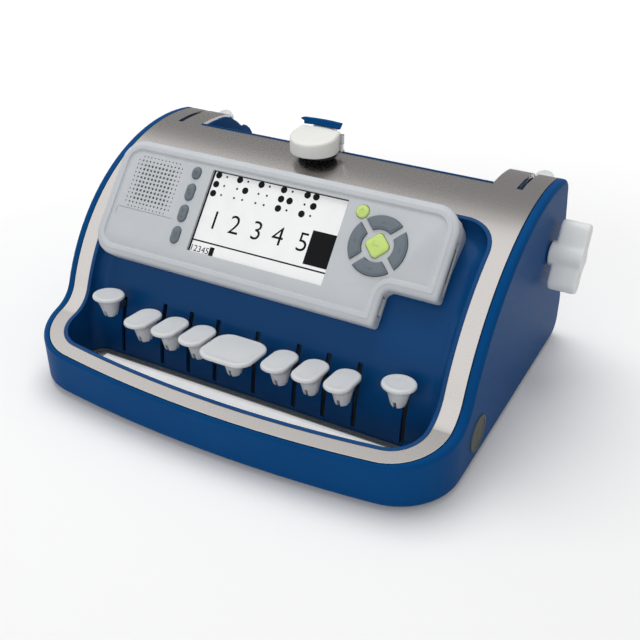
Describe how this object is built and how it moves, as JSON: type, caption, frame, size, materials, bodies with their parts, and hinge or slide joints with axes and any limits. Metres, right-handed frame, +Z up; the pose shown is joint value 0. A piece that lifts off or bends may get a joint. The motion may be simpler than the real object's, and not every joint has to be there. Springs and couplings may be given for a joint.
{
  "type": "manual braille writer",
  "caption": "Manual braille writer: arched casing with a carrying grip in front, dot and space keys in a well, a tilted display panel, sliding embossing carriage and side knobs.",
  "frame": {"origin": "on the floor under the middle of the machine, at the underside of its rubber feet", "axes": "+X to the right of the person who writes, +Y to the back, +Z up"},
  "size_m": [0.3572, 0.2515, 0.1642],
  "materials": {
    "blue_shell": "fine grained, satin",
    "blue_well": "smooth, satin",
    "silver_cover": "satin",
    "grey_liner": "matte",
    "rubber": "matte",
    "dark_plug": "matte",
    "frame_plate": "satin",
    "steel": "brushed",
    "white_plastic": "satin",
    "clear_tab": "translucent",
    "module_grey": "fine satin",
    "screen": "glossy",
    "key_white": "glossy",
    "slate_button": "matte",
    "green_button": "matte"
  },
  "bodies": {
    "base": {"casing_shell": "blue_shell", "top_cover": "silver_cover", "key_well": "blue_well", "rear_cover": "blue_shell", "bottom_plate": "grey_liner", "handle_liner": "grey_liner", "rubber_feet": "rubber", "side_plugs": "dark_plug", "left_side_frame": "frame_plate", "right_side_frame": "frame_plate", "key_pivot_shaft": "steel", "key_springs": "steel", "guide_rods": "steel", "module_housing": "module_grey", "module_back": "module_grey", "lcd_panel": "screen", "speaker": "dark_plug", "usb_port": "steel"},
    "line_key": {"line_key_lever": "steel", "line_key_cap": "key_white"},
    "dot_3_key": {"dot_3_key_lever": "steel", "dot_3_key_cap": "key_white"},
    "dot_2_key": {"dot_2_key_lever": "steel", "dot_2_key_cap": "key_white"},
    "dot_1_key": {"dot_1_key_lever": "steel", "dot_1_key_cap": "key_white"},
    "space_key": {"space_key_lever": "steel", "space_key_cap": "key_white"},
    "dot_4_key": {"dot_4_key_lever": "steel", "dot_4_key_cap": "key_white"},
    "dot_5_key": {"dot_5_key_lever": "steel", "dot_5_key_cap": "key_white"},
    "dot_6_key": {"dot_6_key_lever": "steel", "dot_6_key_cap": "key_white"},
    "backspace_key": {"backspace_key_lever": "steel", "backspace_key_cap": "key_white"},
    "carriage": {"carriage_body": "frame_plate", "embossing_head": "steel"},
    "return_lever": {"carriage_lever": "white_plastic", "lever_cap": "blue_shell", "lever_latch": "steel"},
    "roller": {"paper_roller": "rubber", "roller_shaft": "steel", "left_knob": "white_plastic", "right_knob": "white_plastic"},
    "pinch_roller": {"pressure_roller": "steel"},
    "right_release": {"right_release_lever": "clear_tab"},
    "left_release": {"left_release_lever": "clear_tab"},
    "left_stop": {"left_margin_stop": "blue_shell"},
    "right_stop": {"right_margin_stop": "blue_shell"},
    "menu_push": {"menu_button": "slate_button"},
    "speech_push": {"speech_button": "slate_button"},
    "volume_push": {"volume_button": "slate_button"},
    "mode_push": {"mode_button": "slate_button"},
    "power_push": {"power_button": "green_button"},
    "ok_push": {"ok_button": "green_button"},
    "arrow_right_push": {"arrow_right_button": "slate_button"},
    "arrow_up_push": {"arrow_up_button": "slate_button"},
    "arrow_left_push": {"arrow_left_button": "slate_button"},
    "arrow_down_push": {"arrow_down_button": "slate_button"}
  },
  "joints": [
    {"name": "line_key_press", "type": "hinge", "parent": "base", "child": "line_key", "pos_m": [-0.1104, 0.03, 0.022], "axis": [1, 0, 0], "range_deg": [0, 5], "stiffness_Nm_per_rad": 2, "springref_deg": -2.86},
    {"name": "dot_3_key_press", "type": "hinge", "parent": "base", "child": "dot_3_key", "pos_m": [-0.0759, 0.03, 0.022], "axis": [1, 0, 0], "range_deg": [0, 5], "stiffness_Nm_per_rad": 2, "springref_deg": -2.86},
    {"name": "dot_2_key_press", "type": "hinge", "parent": "base", "child": "dot_2_key", "pos_m": [-0.0535, 0.03, 0.022], "axis": [1, 0, 0], "range_deg": [0, 5], "stiffness_Nm_per_rad": 2, "springref_deg": -2.86},
    {"name": "dot_1_key_press", "type": "hinge", "parent": "base", "child": "dot_1_key", "pos_m": [-0.0314, 0.03, 0.022], "axis": [1, 0, 0], "range_deg": [0, 5], "stiffness_Nm_per_rad": 2, "springref_deg": -2.86},
    {"name": "space_key_press", "type": "hinge", "parent": "base", "child": "space_key", "pos_m": [0, 0.03, 0.022], "axis": [1, 0, 0], "range_deg": [0, 5], "stiffness_Nm_per_rad": 2, "springref_deg": -2.86},
    {"name": "dot_4_key_press", "type": "hinge", "parent": "base", "child": "dot_4_key", "pos_m": [0.0314, 0.03, 0.022], "axis": [1, 0, 0], "range_deg": [0, 5], "stiffness_Nm_per_rad": 2, "springref_deg": -2.86},
    {"name": "dot_5_key_press", "type": "hinge", "parent": "base", "child": "dot_5_key", "pos_m": [0.0535, 0.03, 0.022], "axis": [1, 0, 0], "range_deg": [0, 5], "stiffness_Nm_per_rad": 2, "springref_deg": -2.86},
    {"name": "dot_6_key_press", "type": "hinge", "parent": "base", "child": "dot_6_key", "pos_m": [0.0759, 0.03, 0.022], "axis": [1, 0, 0], "range_deg": [0, 5], "stiffness_Nm_per_rad": 2, "springref_deg": -2.86},
    {"name": "backspace_key_press", "type": "hinge", "parent": "base", "child": "backspace_key", "pos_m": [0.1104, 0.03, 0.022], "axis": [1, 0, 0], "range_deg": [0, 5], "stiffness_Nm_per_rad": 2, "springref_deg": -2.86},
    {"name": "carriage_slide", "type": "slide", "parent": "base", "child": "carriage", "axis": [1, 0, 0], "range_m": [-0.078, 0.096]},
    {"name": "return_lever_press", "type": "hinge", "parent": "carriage", "child": "return_lever", "pos_m": [-0.0095, 0.072, 0.121], "axis": [1, 0, 0], "range_deg": [0, 5], "stiffness_Nm_per_rad": 1, "springref_deg": -3.44},
    {"name": "roller_turn", "type": "hinge", "parent": "base", "child": "roller", "pos_m": [0, 0.068, 0.094], "axis": [1, 0, 0], "continuous": true},
    {"name": "pinch_roller_turn", "type": "hinge", "parent": "base", "child": "pinch_roller", "pos_m": [0, 0.06002, 0.07425], "axis": [1, 0, 0], "continuous": true},
    {"name": "right_release_swing", "type": "hinge", "parent": "base", "child": "right_release", "pos_m": [0.1334, 0.068, 0.094], "axis": [1, 0, 0], "range_deg": [0, 60]},
    {"name": "left_release_swing", "type": "hinge", "parent": "base", "child": "left_release", "pos_m": [-0.1334, 0.068, 0.094], "axis": [1, 0, 0], "range_deg": [0, 60]},
    {"name": "left_stop_slide", "type": "slide", "parent": "base", "child": "left_stop", "axis": [1, 0, 0], "range_m": [0, 0.06]},
    {"name": "right_stop_slide", "type": "slide", "parent": "base", "child": "right_stop", "axis": [1, 0, 0], "range_m": [-0.06, 0]},
    {"name": "menu_press", "type": "slide", "parent": "base", "child": "menu_push", "axis": [0, 0.7615, -0.6481], "range_m": [0, 0.0008], "stiffness_N_per_m": 1500, "springref_m": -0.0006},
    {"name": "speech_press", "type": "slide", "parent": "base", "child": "speech_push", "axis": [0, 0.7615, -0.6481], "range_m": [0, 0.0008], "stiffness_N_per_m": 1500, "springref_m": -0.0006},
    {"name": "volume_press", "type": "slide", "parent": "base", "child": "volume_push", "axis": [0, 0.7615, -0.6481], "range_m": [0, 0.0008], "stiffness_N_per_m": 1500, "springref_m": -0.0006},
    {"name": "mode_press", "type": "slide", "parent": "base", "child": "mode_push", "axis": [0, 0.7615, -0.6481], "range_m": [0, 0.0008], "stiffness_N_per_m": 1500, "springref_m": -0.0006},
    {"name": "power_press", "type": "slide", "parent": "base", "child": "power_push", "axis": [0, 0.7615, -0.6481], "range_m": [0, 0.0008], "stiffness_N_per_m": 1500, "springref_m": -0.0006},
    {"name": "ok_press", "type": "slide", "parent": "base", "child": "ok_push", "axis": [0, 0.7615, -0.6481], "range_m": [0, 0.0008], "stiffness_N_per_m": 1500, "springref_m": -0.0006},
    {"name": "arrow_right_press", "type": "slide", "parent": "base", "child": "arrow_right_push", "axis": [0, 0.7615, -0.6481], "range_m": [0, 0.0008], "stiffness_N_per_m": 1500, "springref_m": -0.0006},
    {"name": "arrow_up_press", "type": "slide", "parent": "base", "child": "arrow_up_push", "axis": [0, 0.7615, -0.6481], "range_m": [0, 0.0008], "stiffness_N_per_m": 1500, "springref_m": -0.0006},
    {"name": "arrow_left_press", "type": "slide", "parent": "base", "child": "arrow_left_push", "axis": [0, 0.7615, -0.6481], "range_m": [0, 0.0008], "stiffness_N_per_m": 1500, "springref_m": -0.0006},
    {"name": "arrow_down_press", "type": "slide", "parent": "base", "child": "arrow_down_push", "axis": [0, 0.7615, -0.6481], "range_m": [0, 0.0008], "stiffness_N_per_m": 1500, "springref_m": -0.0006}
  ],
  "couplings": [
    {"joint": "pinch_roller_turn", "follows": "roller_turn", "ratio": -2.5},
    {"joint": "left_release_swing", "follows": "right_release_swing", "ratio": 1}
  ]
}
